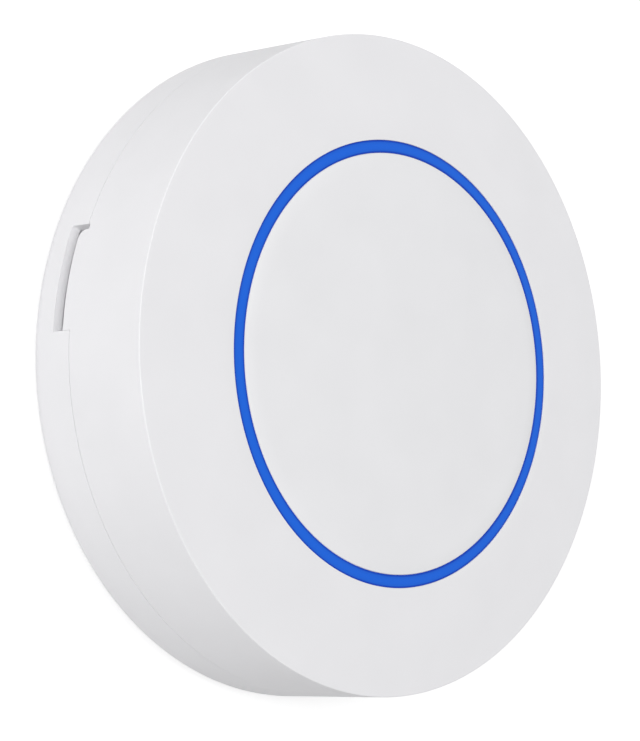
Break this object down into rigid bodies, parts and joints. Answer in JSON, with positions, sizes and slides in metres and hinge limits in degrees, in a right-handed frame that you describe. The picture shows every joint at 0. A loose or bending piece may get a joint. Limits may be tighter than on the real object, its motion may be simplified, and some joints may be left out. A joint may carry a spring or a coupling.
{
  "type": "smart button",
  "caption": "Low round wireless press button: drafted white case with a pry slot, guided press disc in a blue light ring, and a board, tact switch and coin cell inside.",
  "frame": {"origin": "centre of the rear pad's face, on the counter", "axes": "+Z out of the press disc along the case axis; the pry slot is on the -X side, a little towards +Y"},
  "size_m": [0.0598, 0.0598, 0.0134],
  "materials": {
    "case_white": "fine matt moulded texture",
    "disc_white": "fine matt moulded texture",
    "ring_blue": "tinted translucent",
    "frame_grey": "moulded",
    "pad": "soft foam",
    "seal": "smooth rubber",
    "board": "solder mask",
    "radio_board": "solder mask",
    "steel": "tinned",
    "cell_steel": "nickel",
    "contact": "gold plated",
    "black_plastic": "moulded",
    "lamp": "clear resin",
    "ceramic": "ceramic",
    "chip": "ceramic"
  },
  "bodies": {
    "base": {"rear_cover": "case_white", "rear_pad": "pad", "seal_ring": "seal"},
    "front": {"front_shell": "case_white", "light_ring": "ring_blue", "inner_frame": "frame_grey", "main_board": "board", "screws": "steel", "leds": "lamp", "switch_base": "black_plastic", "switch_terminals": "steel", "snap_dome": "steel", "switch_cover": "steel", "radio_board": "radio_board", "radio_shield": "steel", "chip_antenna": "ceramic", "crystal": "steel", "passives": "chip", "cell_contact": "contact", "coin_cell_can": "cell_steel", "coin_cell_gasket": "black_plastic", "coin_cell_cap": "cell_steel", "battery_clip": "steel"},
    "button": {"button_disc": "disc_white"},
    "plunger": {"switch_plunger": "black_plastic"}
  },
  "joints": [
    {"name": "front_lift", "type": "slide", "parent": "base", "child": "front", "axis": [0, 0, 1], "range_m": [0, 0.02]},
    {"name": "button_press", "type": "slide", "parent": "front", "child": "button", "axis": [0, 0, -1], "range_m": [0, 0.00035], "stiffness_N_per_m": 4600, "deforming": ["snap_dome"]},
    {"name": "plunger_slide", "type": "slide", "parent": "front", "child": "plunger", "axis": [0, 0, -1], "range_m": [0, 0.00035]}
  ],
  "couplings": [
    {"joint": "plunger_slide", "follows": "button_press", "ratio": 1}
  ]
}
